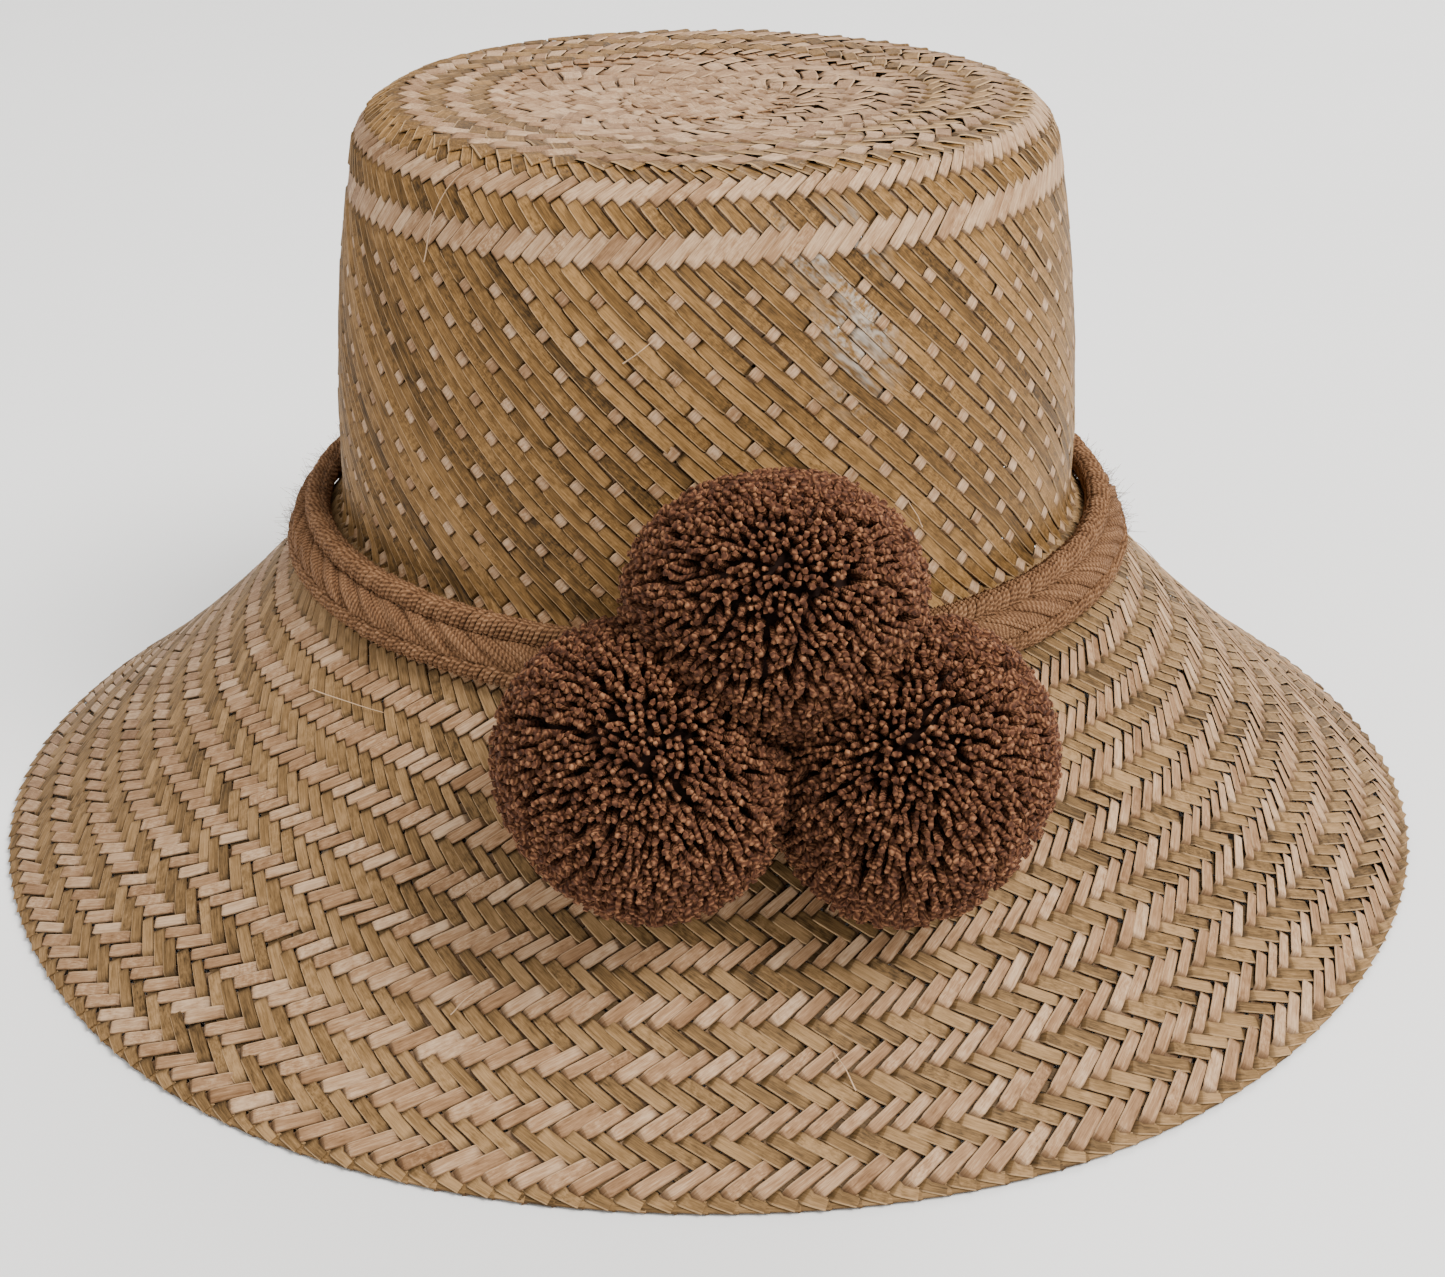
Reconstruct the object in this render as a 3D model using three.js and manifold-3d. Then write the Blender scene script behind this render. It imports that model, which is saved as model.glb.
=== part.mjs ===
// Woven straw hat: a round crown on a wide sloping brim, with a plaited yarn band
// and three yarn pompoms at the front. Millimetres, +Z up. The origin is at the centre of the
// rim, in the plane that the hat rests on, and the front of the hat faces -Y.
import * as THREE from 'three';
import { mergeVertices } from 'three/addons/utils/BufferGeometryUtils.js';
import Module from 'manifold-3d';

const wasm = await Module();
wasm.setup();

// ---- driving dimensions ----
const CLEARANCE = 0.3;           // air left between neighbouring pieces
const STRAW_WALL = 1.6;          // thickness of the woven straw

const RIM_RADIUS = 180;          // mean radius of the brim's outer edge
const RIM_EDGE = 1.2;            // upright height of the turned edge
const RIM_FLAT = 2.4;            // width of the flat ring that the hat rests on
const RIM_SLOPE = 34;            // degrees, slope of the brim at the edge
const NECK_SLOPE = 51;           // degrees, slope of the brim where it meets the crown
const RIM_WAVE = 0.8;            // the edge runs in and out by this much
const RIM_WAVES = 6;             // waves round the edge
const RIM_WAVE_TURN = -33;       // degrees from the front, where a wave stands furthest out

const CROWN_RADIUS = 90;         // outer radius of the crown's upright side at its foot
const NECK_FILLET = 8;           // radius of the bend from the crown's side to the brim
const SIDE_HEIGHT = 83;          // from the bend up to the shoulder
const SIDE_TAPER = 11;           // degrees, how far the side leans in at its top
const SHOULDER_RADIUS = 11.5;    // rounding between the side and the top
const TOP_SAG = 3;               // how far the middle of the top is sunk

const BAND_WIDTH = 16.8;         // width of the plait
const BAND_THICKNESS = 6.5;        // thickness of the plait
const BAND_DOWN = 8.2;           // from the brim's inner edge down its slope to mid-plait

const POMPOMS_TURN = 6.4;        // degrees from the front to the middle of the pompoms
const POMPOMS_PRESS = 1.5;       // the lower two are pressed together by this much
const POMPOM_TOP_LIFT = 31;      // the upper pompom's centre above the lower pair's
const POMPOM_LUMP = 0.025;       // unevenness of the clipped yarn, as a share of the radius
// play is the room left to the crown behind the upper pompom and to the band behind the lower
// ones, squash is height over width, and lump turns the unevenness
const POMPOM_TOP = { radius: 30.5, play: 4, squash: 0.93, lump: 0.4 };
const POMPOM_LEFT = { radius: 29.2, play: 0.3, squash: 1, lump: 2.1 };
const POMPOM_RIGHT = { radius: 28, play: 2.8, squash: 1.06, lump: 4.3 };

// ---- how finely the round shapes are cut into flats ----
const BRIM_SIDES = 80;
const CROWN_SIDES = 64;
const BAND_SIDES = 96;
const BAND_SECTION_POINTS = 14;
const POMPOM_SIDES = 28;
const POMPOM_RINGS = 18;

// ---- profiles: points whose x is a radius and whose y is a height ----
const rad = THREE.MathUtils.degToRad;
const UPRIGHT = rad(90);
const LEVEL = 0;
const point = (radius, height) => new THREE.Vector2(radius, height);
const last = (points) => points[points.length - 1];

/** An arc that climbs towards the axis while its slope turns from one angle to another. */
function climb(start, arcRadius, fromSlope, toSlope, steps) {
  const turn = Math.sign(toSlope - fromSlope) * arcRadius;
  return Array.from({ length: steps + 1 }, (_, i) => {
    const slope = fromSlope + ((toSlope - fromSlope) * i) / steps;
    return point(
      start.x - turn * (Math.sin(slope) - Math.sin(fromSlope)),
      start.y + turn * (Math.cos(fromSlope) - Math.cos(slope)),
    );
  });
}

/** A line moved sideways, away from the axis and up, or the other way if distance is negative. */
function offsetLine(points, distance) {
  return points.map((here, i) => {
    const before = points[Math.max(i - 1, 0)];
    const after = points[Math.min(i + 1, points.length - 1)];
    const along = after.clone().sub(before).normalize();
    return point(Math.max(here.x + along.y * distance, 0), here.y - along.x * distance);
  });
}

const rimSlope = rad(RIM_SLOPE);
const neckSlope = rad(NECK_SLOPE);
const taperSlope = UPRIGHT - rad(SIDE_TAPER);

// upper surface of the brim, from the edge up to where the crown begins
const neckRadius = CROWN_RADIUS + NECK_FILLET * (1 - Math.sin(neckSlope));
const brimArcRadius = (RIM_RADIUS - neckRadius) / (Math.sin(neckSlope) - Math.sin(rimSlope));
const brimArc = climb(point(RIM_RADIUS, RIM_EDGE), brimArcRadius, rimSlope, neckSlope, 8);
const neck = last(brimArc);

// outer surface of the crown: the bend, the side, the shoulder and the sunken top
const bend = climb(neck, NECK_FILLET, neckSlope, UPRIGHT, 3);
const sideArcRadius = SIDE_HEIGHT / Math.sin(rad(SIDE_TAPER));
const side = climb(last(bend), sideArcRadius, UPRIGHT, taperSlope, 5);
const shoulder = climb(last(side), SHOULDER_RADIUS, taperSlope, LEVEL, 4);
const topEdge = last(shoulder);
const TOP_STEPS = 3;
const sunkenTop = Array.from({ length: TOP_STEPS }, (_, i) => {
  const share = (i + 1) / TOP_STEPS;
  return point(topEdge.x * (1 - share), topEdge.y - TOP_SAG * Math.sin((UPRIGHT * share)) ** 2);
});
const crownLine = [...bend, ...side.slice(1), ...shoulder.slice(1), ...sunkenTop];

// ---- solids ----
/** Turns a profile about the Z axis. The profile is closed, or starts and ends on the axis. */
function turned(profile, sides) {
  const geometry = new THREE.LatheGeometry(profile, sides);
  geometry.rotateX(UPRIGHT);
  return closed(geometry);
}

function closed(geometry) {
  geometry.deleteAttribute('normal');
  geometry.deleteAttribute('uv');
  return mergeVertices(geometry, 1e-4);
}

function toSolid(geometry) {
  const mesh = new wasm.Mesh({
    numProp: 3,
    vertProperties: new Float32Array(geometry.attributes.position.array),
    triVerts: new Uint32Array(geometry.index.array),
  });
  return new wasm.Manifold(mesh);
}

function toGeometry(solid) {
  const mesh = solid.getMesh();
  const geometry = new THREE.BufferGeometry();
  geometry.setAttribute('position', new THREE.BufferAttribute(mesh.vertProperties, 3));
  geometry.setIndex(new THREE.BufferAttribute(mesh.triVerts, 1));
  return geometry;
}

/** The brim: a thin wall under its arc, with a flat ring under its wavy edge. */
function brimGeometry() {
  // the wall stops short of the crown by the clearance
  const clear = CLEARANCE / brimArcRadius;
  const upper = climb(brimArc[0], brimArcRadius, rimSlope, neckSlope - clear, brimArc.length - 1);
  const lower = offsetLine(upper, -STRAW_WALL).filter((p) => p.x < RIM_RADIUS - RIM_FLAT);
  const foot = [point(RIM_RADIUS - RIM_FLAT, 0), point(RIM_RADIUS, 0)];
  const geometry = turned([...upper, ...lower.reverse(), ...foot, upper[0]], BRIM_SIDES);
  const place = geometry.attributes.position;
  for (let i = 0; i < place.count; i += 1) {
    const radius = Math.hypot(place.getX(i), place.getY(i));
    const azimuth = Math.atan2(place.getX(i), -place.getY(i));
    const outward = (radius - neck.x) / (RIM_RADIUS - neck.x);
    const wave = RIM_WAVE * Math.cos(RIM_WAVES * (azimuth - rad(RIM_WAVE_TURN)));
    const scale = 1 + (wave * Math.max(outward, 0) ** 2) / radius;
    place.setX(i, place.getX(i) * scale);
    place.setY(i, place.getY(i) * scale);
  }
  return geometry;
}

/** The crown: a thin wall, open below where the head goes in. */
function crownGeometry() {
  const inner = offsetLine(crownLine, -STRAW_WALL);
  last(inner).x = 0;
  return turned([...inner.reverse(), ...crownLine], CROWN_SIDES);
}

// the band lies on the brim's slope; its middle is found along the brim's arc
const bandSlope = neckSlope - BAND_DOWN / brimArcRadius;
const brimAtBand = last(climb(brimArc[0], brimArcRadius, rimSlope, bandSlope, 1));
const bandLift = CLEARANCE + BAND_THICKNESS / 2;
const bandMiddle = point(
  brimAtBand.x + bandLift * Math.sin(bandSlope),
  brimAtBand.y + bandLift * Math.cos(bandSlope),
);

/** The plait's outline: an oval with fuller corners, lying along the slope. */
function bandSection(grow) {
  const fullness = 0.85;
  const round = (value) => Math.sign(value) * Math.abs(value) ** fullness;
  const points = Array.from({ length: BAND_SECTION_POINTS }, (_, i) => {
    const angle = (2 * Math.PI * i) / BAND_SECTION_POINTS;
    const across = (BAND_WIDTH / 2 + grow) * round(Math.sin(angle));
    const out = (BAND_THICKNESS / 2 + grow) * round(Math.cos(angle));
    return point(
      bandMiddle.x - across * Math.cos(bandSlope) + out * Math.sin(bandSlope),
      bandMiddle.y + across * Math.sin(bandSlope) + out * Math.cos(bandSlope),
    );
  });
  return [...points, points[0]];
}
const bandOuterRadius = Math.max(...bandSection(0).map((p) => p.x));

/** Everything that a pompom must keep clear of: the hat with its hollow filled, and the band. */
function hatAndBand() {
  const grown = offsetLine([...brimArc, ...crownLine.slice(1)], CLEARANCE);
  last(grown).x = 0;
  const filled = toSolid(turned([point(0, 0), point(grown[0].x, 0), ...grown], BRIM_SIDES));
  return filled.add(toSolid(turned(bandSection(CLEARANCE), BAND_SIDES)));
}

/** A lower pompom rests on the brim's hollow slope, next to the band. */
function onBrim({ radius, play }) {
  const distance = bandOuterRadius + play + radius;
  const rest = brimArcRadius - radius - CLEARANCE;
  const arcCentre = point(
    RIM_RADIUS + brimArcRadius * Math.sin(rimSlope),
    RIM_EDGE + brimArcRadius * Math.cos(rimSlope),
  );
  const slope = Math.asin((arcCentre.x - distance) / rest);
  return point(distance, arcCentre.y - rest * Math.cos(slope));
}

/** The angle round the hat that sets two pompoms' centres a given length apart. */
function spread(one, other, apart) {
  const level = Math.sqrt(apart ** 2 - (one.y - other.y) ** 2);
  return Math.acos((one.x ** 2 + other.x ** 2 - level ** 2) / (2 * one.x * other.x));
}

/** A place at an angle round from the front, positive towards +X. */
function around(angle, { x: distance, y: height }) {
  return new THREE.Vector3(distance * Math.sin(angle), -distance * Math.cos(angle), height);
}

/** A clipped yarn ball, a little uneven, with its poles up and down. */
function ball({ radius, squash, lump }, centre, grow = 0) {
  const geometry = new THREE.SphereGeometry(radius + grow, POMPOM_SIDES, POMPOM_RINGS);
  geometry.rotateX(UPRIGHT);
  const place = geometry.attributes.position;
  const spot = new THREE.Vector3();
  for (let i = 0; i < place.count; i += 1) {
    spot.fromBufferAttribute(place, i);
    const dir = spot.clone().normalize();
    const uneven = Math.sin(3 * dir.x + lump) * Math.sin(3 * dir.y - lump) + dir.z * dir.x;
    spot.multiplyScalar(1 + POMPOM_LUMP * uneven);
    spot.z *= squash;
    place.setXYZ(i, spot.x, spot.y, spot.z);
  }
  geometry.translate(centre.x, centre.y, centre.z);
  return toSolid(closed(geometry));
}

function pompomGeometries() {
  const left = onBrim(POMPOM_LEFT);
  const right = onBrim(POMPOM_RIGHT);
  const top = point(
    CROWN_RADIUS + POMPOM_TOP.play + POMPOM_TOP.radius,
    (left.y + right.y) / 2 + POMPOM_TOP_LIFT,
  );
  const apart = POMPOM_LEFT.radius + POMPOM_RIGHT.radius - POMPOMS_PRESS;
  const half = spread(left, right, apart) / 2;
  const middle = rad(POMPOMS_TURN);
  const keepOut = hatAndBand();
  const topBall = ball(POMPOM_TOP, around(middle, top));
  const topGrown = ball(POMPOM_TOP, around(middle, top), CLEARANCE);
  const leftBall = ball(POMPOM_LEFT, around(middle - half, left));
  const leftGrown = ball(POMPOM_LEFT, around(middle - half, left), CLEARANCE);
  const rightBall = ball(POMPOM_RIGHT, around(middle + half, right));
  // the upper one is whole in front, and the lower two are pressed in under it
  return {
    pompom_top: toGeometry(topBall.subtract(keepOut)),
    pompom_left: toGeometry(leftBall.subtract(keepOut).subtract(topGrown)),
    pompom_right: toGeometry(rightBall.subtract(keepOut).subtract(topGrown).subtract(leftGrown)),
  };
}

// ---- materials ----
const straw = (color) => new THREE.MeshStandardMaterial({ color, roughness: 0.62, metalness: 0 });
const yarn = (color) => new THREE.MeshStandardMaterial({ color, roughness: 0.95, metalness: 0 });

// ---- the hat ----
const hat = new THREE.Group();

function add(name, geometry, material) {
  const mesh = new THREE.Mesh(geometry, material);
  mesh.name = name;
  hat.add(mesh);
}

add('brim', brimGeometry(), straw(0xb4946c));
add('crown', crownGeometry(), straw(0xa88a5c));
add('hat_band', turned(bandSection(0), BAND_SIDES), yarn(0x8f6a47));
for (const [name, geometry] of Object.entries(pompomGeometries())) {
  add(name, geometry, yarn(0x70452c));
}

export default hat;
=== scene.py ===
"""Woven straw hat with a plaited yarn band and three yarn pompoms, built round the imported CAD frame."""
import math

import bpy
import numpy as np
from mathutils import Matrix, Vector
from mathutils.bvhtree import BVHTree


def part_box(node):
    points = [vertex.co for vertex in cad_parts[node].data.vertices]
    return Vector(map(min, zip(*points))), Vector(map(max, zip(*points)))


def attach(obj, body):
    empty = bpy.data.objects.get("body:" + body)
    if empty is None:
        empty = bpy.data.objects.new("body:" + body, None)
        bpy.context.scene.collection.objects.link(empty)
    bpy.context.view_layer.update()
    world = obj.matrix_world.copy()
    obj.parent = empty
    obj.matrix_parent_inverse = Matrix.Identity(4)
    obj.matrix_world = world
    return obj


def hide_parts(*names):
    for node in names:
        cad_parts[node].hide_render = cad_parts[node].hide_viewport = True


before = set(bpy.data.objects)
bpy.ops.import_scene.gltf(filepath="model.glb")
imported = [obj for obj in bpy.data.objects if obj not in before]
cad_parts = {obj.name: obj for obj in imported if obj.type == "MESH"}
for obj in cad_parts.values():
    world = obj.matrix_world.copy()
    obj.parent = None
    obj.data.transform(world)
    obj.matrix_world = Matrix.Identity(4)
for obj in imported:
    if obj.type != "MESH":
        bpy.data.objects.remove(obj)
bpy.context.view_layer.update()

MM = 0.001
TAU = 2 * math.pi

# ---------------------------------------------------------------- camera, floor and light

CAMERA_PLACE = (0.00368, -0.51438, 0.28880)
CAMERA_DOWN = math.radians(26.02)
CAMERA_LENS = 54.81
SENSOR_WIDTH = 36.0


def add_camera():
    data = bpy.data.cameras.new("camera")
    data.lens = CAMERA_LENS
    data.sensor_width = SENSOR_WIDTH
    data.clip_start = 0.01
    data.clip_end = 50.0
    camera = bpy.data.objects.new("camera", data)
    camera.location = CAMERA_PLACE
    camera.rotation_euler = (math.pi / 2 - CAMERA_DOWN, 0.0, 0.0)
    bpy.context.scene.collection.objects.link(camera)
    bpy.context.scene.camera = camera


def add_area_light(name, place, target, size, watts, colour):
    data = bpy.data.lights.new(name, "AREA")
    data.shape = "DISK"
    data.size = size
    data.energy = watts
    data.color = colour
    light = bpy.data.objects.new(name, data)
    light.location = place
    aim = Vector(target) - Vector(place)
    light.rotation_mode = "QUATERNION"
    light.rotation_quaternion = aim.to_track_quat("-Z", "Y")
    bpy.context.scene.collection.objects.link(light)


def add_world(colour, strength):
    world = bpy.data.worlds.new("studio")
    world.use_nodes = True
    background = world.node_tree.nodes["Background"]
    background.inputs["Color"].default_value = (*colour, 1.0)
    background.inputs["Strength"].default_value = strength
    bpy.context.scene.world = world


# ---------------------------------------------------------------- node material helpers


class Nodes:
    """A small wrapper that makes and links shader nodes."""

    def __init__(self, name):
        self.material = bpy.data.materials.new(name)
        self.material.use_nodes = True
        self.tree = self.material.node_tree
        self.bsdf = self.tree.nodes["Principled BSDF"]

    def plug(self, socket, value):
        if isinstance(value, bpy.types.NodeSocket):
            self.tree.links.new(value, socket)
        else:
            socket.default_value = value

    def attribute(self, name):
        node = self.tree.nodes.new("ShaderNodeAttribute")
        node.attribute_name = name
        return node.outputs["Fac"]

    def math(self, operation, a, b=0.0, c=0.0):
        node = self.tree.nodes.new("ShaderNodeMath")
        node.operation = operation
        for socket, value in zip(node.inputs, (a, b, c)):
            self.plug(socket, value)
        return node.outputs[0]

    def vector(self, x, y, z):
        node = self.tree.nodes.new("ShaderNodeCombineXYZ")
        for socket, value in zip(node.inputs, (x, y, z)):
            self.plug(socket, value)
        return node.outputs[0]

    def noise(self, vector, scale, detail, roughness):
        node = self.tree.nodes.new("ShaderNodeTexNoise")
        self.plug(node.inputs["Vector"], vector)
        node.inputs["Scale"].default_value = scale
        node.inputs["Detail"].default_value = detail
        node.inputs["Roughness"].default_value = roughness
        return node.outputs["Fac"]

    def spread(self, value, low, high):
        """0 where value is low, 1 where it is high, and smooth between them."""
        node = self.tree.nodes.new("ShaderNodeMapRange")
        node.interpolation_type = "SMOOTHSTEP"
        for socket, item in zip(node.inputs, (value, low, high)):
            self.plug(socket, item)
        return node.outputs[0]

    def mix(self, factor, a, b):
        node = self.tree.nodes.new("ShaderNodeMix")
        node.data_type = "RGBA"
        self.plug(node.inputs["Factor"], factor)
        for socket, value in ((node.inputs[6], a), (node.inputs[7], b)):
            self.plug(socket, (*value, 1.0) if isinstance(value, tuple) else value)
        return node.outputs[2]

    def ramp(self, factor, stops):
        node = self.tree.nodes.new("ShaderNodeValToRGB")
        self.plug(node.inputs["Fac"], factor)
        band = node.color_ramp
        while len(band.elements) < len(stops):
            band.elements.new(0.5)
        for element, (place, colour) in zip(band.elements, stops):
            element.position = place
            element.color = (*colour, 1.0)
        return node.outputs["Color"]

    def bump(self, height, strength, distance):
        node = self.tree.nodes.new("ShaderNodeBump")
        self.plug(node.inputs["Height"], height)
        node.inputs["Strength"].default_value = strength
        node.inputs["Distance"].default_value = distance
        self.plug(self.bsdf.inputs["Normal"], node.outputs["Normal"])


# Pale grey of the painted sheen, a highlight painted on some falling strips.
SHEEN_COLOUR = (0.56, 0.52, 0.46)


def darker(colour, share):
    return tuple(share * c for c in colour)


def straw_material(name, dark, middle, light, edge, rough, gloss):
    """Split palm leaf: long grain, tone from strip to strip, pale cut edges lightened by a painted highlight,
    painted shade along the other edge and where strips go under, specks and patches of painted sheen.

    It reads along (mm), across (-1 to 1), tone, painted_sheen and under_shade (0 to 1) from the mesh.
    """
    n = Nodes(name)
    along = n.attribute("along")
    across = n.attribute("across")
    tone = n.attribute("tone")
    painted_sheen = n.attribute("painted_sheen")
    under_shade = n.attribute("under_shade")
    seed = n.math("MULTIPLY", tone, 87.0)

    def grain(along_scale, across_scale, detail, roughness):
        x = n.math("MULTIPLY", along, along_scale)
        y = n.math("MULTIPLY", across, across_scale)
        return n.noise(n.vector(x, y, seed), 1.0, detail, roughness)

    fine = grain(0.10, 3.4, 4.0, 0.62)
    blotch = grain(0.11, 0.5, 3.0, 0.6)
    hair = grain(0.5, 10.0, 2.0, 0.5)
    shade = n.math("MULTIPLY_ADD", tone, 0.50, n.math("MULTIPLY", fine, 0.84))
    shade = n.math("ADD", shade, n.math("MULTIPLY", blotch, 0.60))
    shade = n.math("ADD", shade, n.math("MULTIPLY_ADD", hair, 0.44, -0.69))
    colour = n.ramp(shade, [(0.18, dark), (0.50, middle), (0.84, light)])
    # Pale cut edge on the west side, made paler as a painted highlight where the raised edge catches the
    # light.
    cut_edge_highlight = n.spread(across, -0.74, -0.93)
    colour = n.mix(n.math("MULTIPLY", cut_edge_highlight, 0.8), colour, edge)
    shaded_edge = n.spread(across, 0.72, 1.0)
    colour = n.mix(n.math("MULTIPLY", shaded_edge, 0.5), colour, darker(dark, 0.5))
    speck = n.spread(grain(0.9, 1.7, 3.0, 0.7), 0.70, 0.78)
    colour = n.mix(n.math("MULTIPLY", speck, 0.45), colour, darker(dark, 0.30))
    # Painted shade: darker where a strip turns down or lies under its neighbour, standing in for the shade
    # there.
    under = n.spread(under_shade, 0.0, 1.0)
    colour = n.mix(n.math("MULTIPLY", under, 0.70), colour, darker(dark, 0.30))
    # Painted sheen: patches mixed towards a pale grey highlight; their lower roughness is real gloss.
    sheen_mask = n.math("MULTIPLY", n.spread(grain(0.16, 0.9, 2.0, 0.6), 0.34, 0.68), painted_sheen)
    colour = n.mix(n.math("MULTIPLY", sheen_mask, 0.50), colour, SHEEN_COLOUR)
    n.plug(n.bsdf.inputs["Base Color"], colour)
    dull = n.math("MULTIPLY_ADD", fine, 0.2, rough)
    n.plug(n.bsdf.inputs["Roughness"], n.math("MULTIPLY_ADD", sheen_mask, -0.25, dull))
    n.bsdf.inputs["Specular IOR Level"].default_value = gloss
    height = n.math("ADD", n.math("MULTIPLY", fine, 0.7), n.math("MULTIPLY", hair, 0.5))
    n.bump(height, 0.5, 0.00022)
    return n.material


def yarn_material(name, groove_shade, middle, light, twist_mm, deep_shade, fuzz):
    """Two-ply yarn: spiral grooves painted dark and crests painted light as the twist's shade, fibre noise,
    and the deep_shade colour, painted shade, where depth is 0.

    It reads along (mm), around (turns), tone (0 to 1) and depth (0 to 1) from the mesh.
    """
    n = Nodes(name)
    along = n.attribute("along")
    around = n.attribute("around")
    tone = n.attribute("tone")
    depth = n.attribute("depth")
    seed = n.math("MULTIPLY", tone, 61.0)
    turn = n.math("ADD", n.math("MULTIPLY", along, 1.0 / twist_mm), around)
    wave = n.math("SINE", n.math("MULTIPLY", turn, TAU))
    wave = n.math("MULTIPLY_ADD", wave, 0.5, 0.5)
    fibre_place = n.vector(n.math("MULTIPLY", turn, 0.8), n.math("MULTIPLY", along, 1.4), seed)
    fibre = n.noise(fibre_place, 1.0, 4.0, 0.7)
    shade = n.math("ADD", n.math("MULTIPLY", wave, 0.34), n.math("MULTIPLY", fibre, 0.40))
    shade = n.math("ADD", shade, n.math("MULTIPLY", tone, 0.30))
    # Painted shade of the twist: dark in the spiral grooves, light on the crests.
    colour = n.ramp(shade, [(0.22, groove_shade), (0.55, middle), (0.90, light)])
    # Painted shade: the near-black deep_shade colour where depth is 0, deep inside a pompom.
    colour = n.mix(n.spread(depth, 0.0, 1.0), deep_shade, colour)
    n.plug(n.bsdf.inputs["Base Color"], colour)
    n.plug(n.bsdf.inputs["Roughness"], n.math("MULTIPLY_ADD", fibre, 0.15, 0.78))
    n.bsdf.inputs["Specular IOR Level"].default_value = 0.2
    n.bsdf.inputs["Sheen Weight"].default_value = fuzz
    n.bsdf.inputs["Sheen Roughness"].default_value = 0.5
    n.bsdf.inputs["Sheen Tint"].default_value = (*light, 1.0)
    n.bump(n.math("ADD", n.math("MULTIPLY", wave, 0.8), n.math("MULTIPLY", fibre, 0.5)), 0.8, 0.0003)
    return n.material


FLOOR_DARK = (0.93, 0.93, 0.925)
FLOOR_LIGHT = (0.96, 0.96, 0.955)


def floor_material():
    n = Nodes("floor_paper")
    where = n.tree.nodes.new("ShaderNodeTexCoord").outputs["Object"]
    cloud = n.noise(where, 3.0, 4.0, 0.6)
    n.plug(n.bsdf.inputs["Base Color"], n.ramp(cloud, [(0.3, FLOOR_DARK), (0.7, FLOOR_LIGHT)]))
    n.bsdf.inputs["Roughness"].default_value = 0.9
    n.bsdf.inputs["Specular IOR Level"].default_value = 0.1
    n.bump(n.noise(where, 400.0, 2.0, 0.55), 0.05, 0.0002)
    return n.material


# ---------------------------------------------------------------- mesh helpers


def add_piece(name, vertices, faces, material, attributes, corners, node, smooth):
    """One mesh object from arrays, with its vertices in metres.

    faces is a list of (count, k) index arrays, and corners the matching list of (count, k, 2)
    bake coordinates. attributes maps a name to one float for each vertex.
    """
    mesh = bpy.data.meshes.new(name)
    mesh.vertices.add(len(vertices))
    mesh.vertices.foreach_set("co", np.asarray(vertices, np.float32).ravel())
    loops = np.concatenate([f.ravel() for f in faces]).astype(np.int32)
    sizes = np.concatenate([np.full(len(f), f.shape[1]) for f in faces]).astype(np.int32)
    starts = np.concatenate([[0], np.cumsum(sizes)[:-1]]).astype(np.int32)
    mesh.loops.add(len(loops))
    mesh.loops.foreach_set("vertex_index", loops)
    mesh.polygons.add(len(sizes))
    mesh.polygons.foreach_set("loop_start", starts)
    mesh.polygons.foreach_set("use_smooth", np.full(len(sizes), smooth))
    bake = mesh.uv_layers.new(name="OFBake")
    places = np.concatenate([c.reshape(-1, 2) for c in corners]).astype(np.float32)
    bake.data.foreach_set("uv", places.ravel())
    for key, values in attributes.items():
        layer = mesh.attributes.new(key, "FLOAT", "POINT")
        layer.data.foreach_set("value", np.asarray(values, np.float32).ravel())
    mesh.update(calc_edges=True)
    mesh.validate()
    mesh.materials.append(material)
    piece = bpy.data.objects.new(name, mesh)
    bpy.context.scene.collection.objects.link(piece)
    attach(piece, "root")
    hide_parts(node)


def unit(v):
    return v / np.maximum(np.linalg.norm(v, axis=-1, keepdims=True), 1e-12)


WAVE_STEP = 0.7


def smooth_noise(rng, count, length, waves, size):
    """A few random sines along each of count rows: a value for each of length samples."""
    t = np.linspace(0.0, 1.0, length)[None, :]
    total = np.zeros((count, length))
    for wave in range(1, waves + 1):
        phase = rng.uniform(0, TAU, (count, 1))
        weight = rng.normal(0, 1, (count, 1)) / math.sqrt(waves)
        total += weight * np.sin(TAU * wave * t * WAVE_STEP + phase)
    return size * total


# ---------------------------------------------------------------- the hat's profiles, in mm

RIM_RADIUS = 180.0
BRIM_ARC = 404.9
RIM_SLOPE = math.radians(34)
NECK_SLOPE = math.radians(51)
RIM_TOP = 1.2
NECK_RADIUS = 91.78
RIM_WAVE = 0.8
RIM_WAVES = 6
WAVE_TURN = math.radians(33)
BRIM_TUCK = 3.0
CROWN_TUCK = 5.0
NECK_HEIGHT = 82.04
NECK_FILLET = 8.0
SIDE_RADIUS = 90.0
SIDE_FOOT = 87.07
SIDE_HEIGHT = 83.0
SIDE_TAPER = math.radians(11)
SHOULDER_RADIUS = 11.5
TOP_RADIUS = 70.72
TOP_HEIGHT = 179.38
TOP_SAG = 3.0


def brim_profile():
    """(arc length, r, z, normal r, normal z) from the rim up to the neck and just inside the crown."""
    slope = np.linspace(RIM_SLOPE, NECK_SLOPE + BRIM_TUCK / BRIM_ARC, 200)
    r = RIM_RADIUS - BRIM_ARC * (np.sin(slope) - math.sin(RIM_SLOPE))
    z = RIM_TOP + BRIM_ARC * (math.cos(RIM_SLOPE) - np.cos(slope))
    return BRIM_ARC * (slope - RIM_SLOPE), r, z, np.sin(slope), np.cos(slope)


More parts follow.
